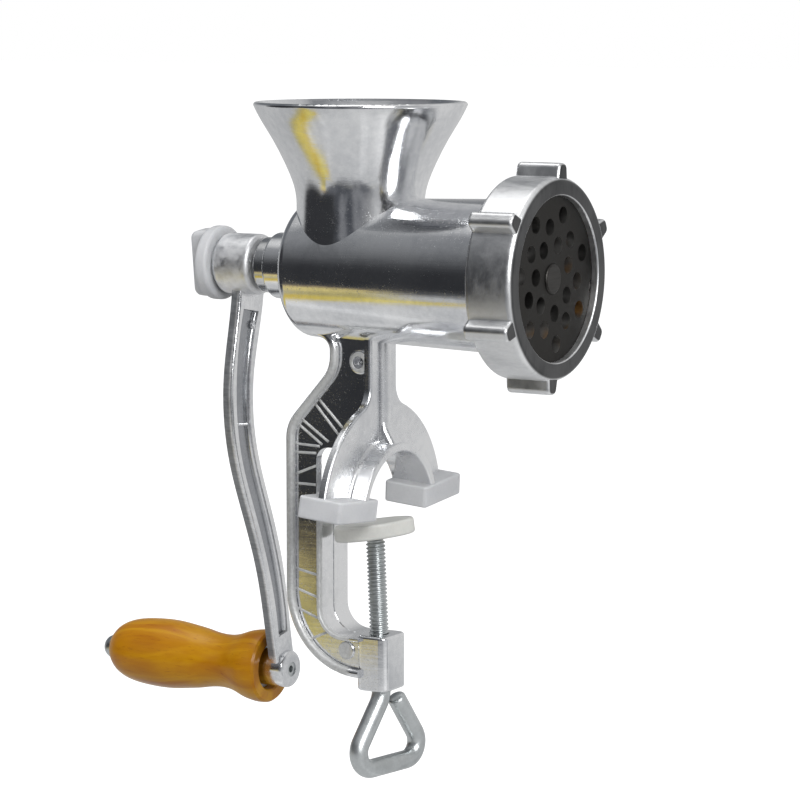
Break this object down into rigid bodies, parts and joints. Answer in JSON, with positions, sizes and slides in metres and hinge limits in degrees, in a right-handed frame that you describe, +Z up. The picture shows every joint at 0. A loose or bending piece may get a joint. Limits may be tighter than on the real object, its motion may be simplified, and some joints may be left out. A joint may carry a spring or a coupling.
{
  "type": "hand crank meat grinder",
  "caption": "Table-clamp hand crank meat grinder: cast barrel with hopper, auger, knife, perforated plate under a lugged ring nut, wooden crank handle and screw clamp.",
  "frame": {"origin": "on the plane of the table top that the two foot pads rest on, midway between the pads, in the grinder's mid-plane", "axes": "+Z up, +X along the barrel axis towards the perforated plate, +Y across the pads"},
  "size_m": [0.1898, 0.0756, 0.2169],
  "materials": {
    "cast_aluminium": "polished cast aluminium",
    "crank_aluminium": "polished cast aluminium",
    "ring_aluminium": "satin turned aluminium with scuffs",
    "auger_aluminium": "as-cast aluminium",
    "bush_steel": "turned steel",
    "tool_steel": "ground tool steel",
    "plate_steel": "dark ground steel",
    "zinc_steel": "bright zinc plated",
    "white_plastic": "semi-translucent moulded polyethylene",
    "disc_plastic": "moulded polyethylene, slightly warm",
    "nylon": "moulded nylon",
    "varnished_wood": "varnished turned hardwood"
  },
  "bodies": {
    "frame": {"body_casting": "cast_aluminium", "shaft_bush": "bush_steel", "thrust_washer": "nylon", "plate_key_pin": "tool_steel", "foot_pad_left": "white_plastic", "foot_pad_right": "white_plastic"},
    "drive": {"auger": "auger_aluminium", "front_stud": "tool_steel", "knife": "tool_steel", "crank_arm": "crank_aluminium", "handle_spindle": "zinc_steel", "handle_washer": "zinc_steel"},
    "handle": {"handle_grip": "varnished_wood"},
    "thumb_seat": {"thumb_washer": "zinc_steel"},
    "thumb_screw": {"thumb_knob": "white_plastic", "thumb_stud": "zinc_steel"},
    "plate": {"cutting_plate": "plate_steel"},
    "ring": {"ring_nut": "ring_aluminium"},
    "disc": {"clamp_disc": "disc_plastic"},
    "screw": {"clamp_screw": "zinc_steel"}
  },
  "joints": [
    {"name": "crank_turn", "type": "hinge", "parent": "frame", "child": "drive", "pos_m": [0, 0, 0.0764], "axis": [1, 0, 0], "continuous": true},
    {"name": "handle_spin", "type": "hinge", "parent": "drive", "child": "handle", "pos_m": [-0.08, 0.0215, -0.0619], "axis": [1, 0, 0], "continuous": true},
    {"name": "thumb_feed", "type": "slide", "parent": "drive", "child": "thumb_seat", "axis": [-1, 0, 0], "range_m": [0, 0.007]},
    {"name": "thumb_turn", "type": "hinge", "parent": "thumb_seat", "child": "thumb_screw", "pos_m": [-0.062, 0, 0.0764], "axis": [-1, 0, 0], "range_deg": [0, 2520]},
    {"name": "plate_slide", "type": "slide", "parent": "frame", "child": "plate", "axis": [1, 0, 0], "range_m": [0, 0.009]},
    {"name": "ring_turn", "type": "hinge", "parent": "plate", "child": "ring", "pos_m": [0.058, 0, 0.0764], "axis": [1, 0, 0], "range_deg": [0, 1080]},
    {"name": "clamp_feed", "type": "slide", "parent": "frame", "child": "disc", "axis": [-0.0462, 0, 0.9989], "range_m": [-0.02667, 0]},
    {"name": "clamp_turn", "type": "hinge", "parent": "disc", "child": "screw", "pos_m": [-0.00047, 0, -0.0501], "axis": [-0.0462, 0, 0.9989], "range_deg": [-7560, 0]}
  ],
  "couplings": [
    {"joint": "thumb_turn", "follows": "thumb_feed", "rad_per_m": 6283.2},
    {"joint": "ring_turn", "follows": "plate_slide", "rad_per_m": 2094.4},
    {"joint": "clamp_turn", "follows": "clamp_feed", "rad_per_m": 4947.4}
  ]
}
